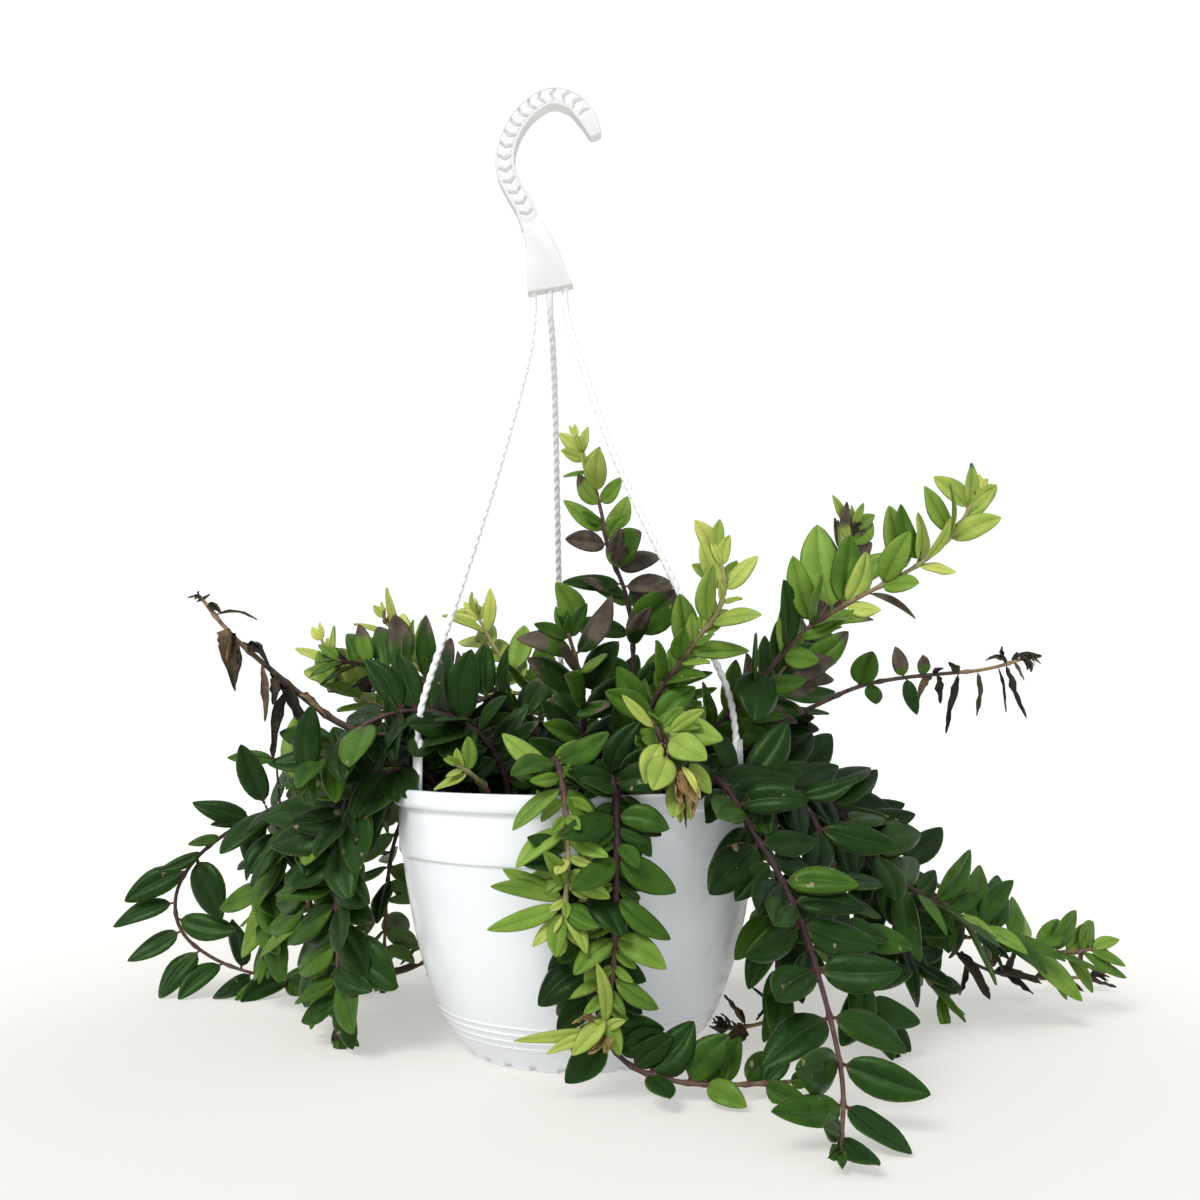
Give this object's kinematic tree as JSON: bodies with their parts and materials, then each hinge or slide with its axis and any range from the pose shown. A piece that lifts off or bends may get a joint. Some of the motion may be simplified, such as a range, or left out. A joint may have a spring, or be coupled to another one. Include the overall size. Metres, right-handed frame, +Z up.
{
  "type": "potted lipstick plant",
  "caption": "White plastic hanging basket of trailing lipstick plant with fleshy leaves in pairs, standing on a surface with its hooked hanger upright.",
  "frame": {"origin": "centre of the pot's flat underside, on the surface it stands on", "axes": "+Z up out of the pot, -Y towards the front that the picture shows, +X to the right seen from the front"},
  "size_m": [0.6263, 0.3762, 0.5352],
  "materials": {
    "pot_plastic": "gloss white moulded plastic",
    "hanger_plastic": "satin white moulded plastic",
    "soil": "matte dark potting mix",
    "leaf_dark": "satin dark green leaves on purple-brown stems",
    "leaf_mid": "satin mid green leaves on purple-brown stems",
    "leaf_pale": "satin pale yellow-green leaves on purple-brown stems"
  },
  "bodies": {
    "root": {"pot": "pot_plastic", "soil": "soil", "hanger_hook": "hanger_plastic", "hanger_arm_left": "hanger_plastic", "hanger_arm_right": "hanger_plastic", "hanger_arm_back": "hanger_plastic", "stem_front_hanging": "leaf_mid", "stem_front_left_sprig": "leaf_pale", "stem_front_floor": "leaf_dark", "stem_front_right_trailing": "leaf_dark", "stem_front_tip_cluster": "leaf_pale", "stem_centre_pale": "leaf_pale", "stem_upright_centre": "leaf_mid", "stem_right_rising": "leaf_pale", "stem_right_rising_back": "leaf_mid", "stem_right_drying": "leaf_dark", "stem_right_trailing": "leaf_dark", "stem_right_floor_dead": "leaf_dark", "stem_left_drying": "leaf_dark", "stem_left_level": "leaf_dark", "stem_left_far_arc": "leaf_dark", "stem_left_inner": "leaf_mid", "stem_left_vertical": "leaf_dark", "stem_left_middle": "leaf_dark", "stem_left_low": "leaf_dark", "stem_left_pale": "leaf_pale", "stem_left_back_tall": "leaf_pale", "stem_back_left_tall": "leaf_pale", "stem_right_cascade_front": "leaf_dark", "stem_right_cascade_middle": "leaf_dark", "stem_right_cascade_back": "leaf_dark", "stem_right_low": "leaf_dark", "stem_centre_low": "leaf_dark", "stem_right_bushy": "leaf_dark", "stem_inner_sprig": "leaf_pale", "stem_back_left_dead": "leaf_dark", "stem_back_left_trailing": "leaf_dark", "stem_back_middle": "leaf_dark", "stem_back_right": "leaf_mid", "stem_back_right_outer": "leaf_dark", "stem_back_arching": "leaf_dark"}
  },
  "joints": []
}
